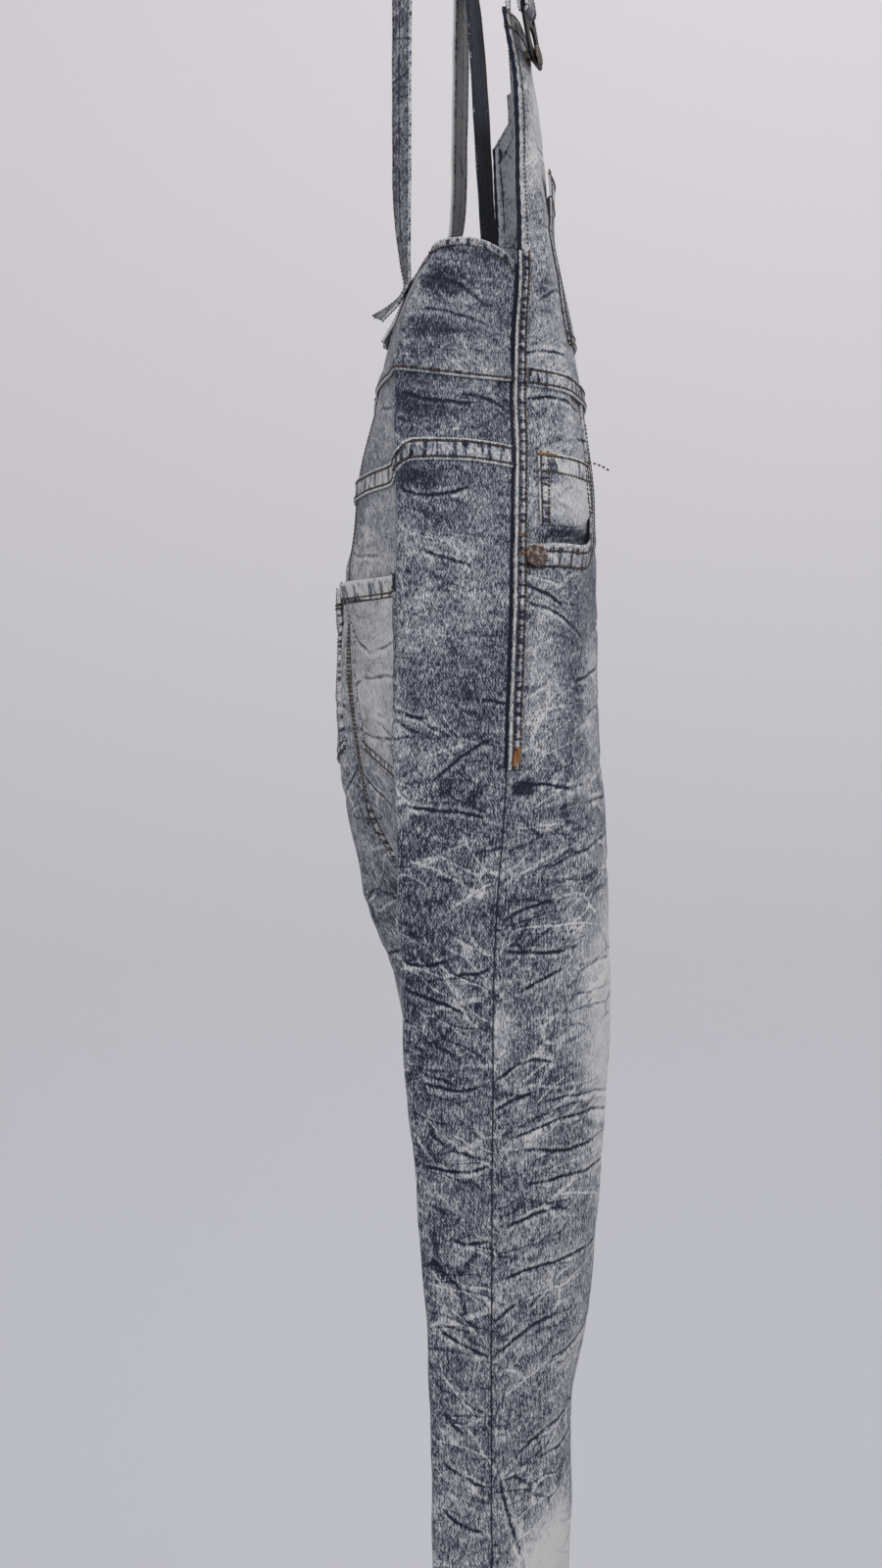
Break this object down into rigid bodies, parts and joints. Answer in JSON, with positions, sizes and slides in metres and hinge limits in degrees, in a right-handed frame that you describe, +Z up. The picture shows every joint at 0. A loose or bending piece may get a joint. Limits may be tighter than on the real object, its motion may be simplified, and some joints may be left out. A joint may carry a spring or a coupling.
{
  "type": "denim dungarees",
  "caption": "Denim dungarees hanging by their straps: shaped bib with strap buckles, lapped yoke bands, patch and hip pockets, buttoned side plackets, slim straight legs.",
  "frame": {"origin": "level with the top of the strap loops, where the garment is held, on its centre plane", "axes": "+Z up, -Y the garment's front, -X the wearer's right"},
  "size_m": [0.3192, 0.2153, 1.6],
  "materials": {
    "denim": "acid-washed cotton twill, matt",
    "buckle_metal": "dark gunmetal plating, satin",
    "button_metal": "antique copper plating, satin"
  },
  "bodies": {
    "root": {"front_bib": "denim", "back_bib": "denim", "back_yoke_right": "denim", "back_yoke_left": "denim", "front_leg_right_top": "denim", "front_leg_right_thigh": "denim", "front_leg_right_shin": "denim", "front_leg_left_top": "denim", "front_leg_left_thigh": "denim", "front_leg_left_shin": "denim", "back_leg_right_top": "denim", "back_leg_right_thigh": "denim", "back_leg_right_shin": "denim", "back_leg_left_top": "denim", "back_leg_left_thigh": "denim", "back_leg_left_shin": "denim", "bib_band": "denim", "yoke_band_right": "denim", "yoke_band_left": "denim", "side_placket_right": "denim", "side_placket_left": "denim", "bib_pocket": "denim", "coin_pocket": "denim", "hip_facing_right": "denim", "hip_facing_left": "denim", "back_pocket_right": "denim", "back_pocket_left": "denim", "strap_right": "denim", "strap_left": "denim", "strap_tail_left": "denim", "buckle_right": "buckle_metal", "buckle_left": "buckle_metal", "bib_button_right": "button_metal", "bib_button_left": "button_metal", "hip_button_right": "button_metal", "hip_button_left": "button_metal"}
  },
  "joints": []
}
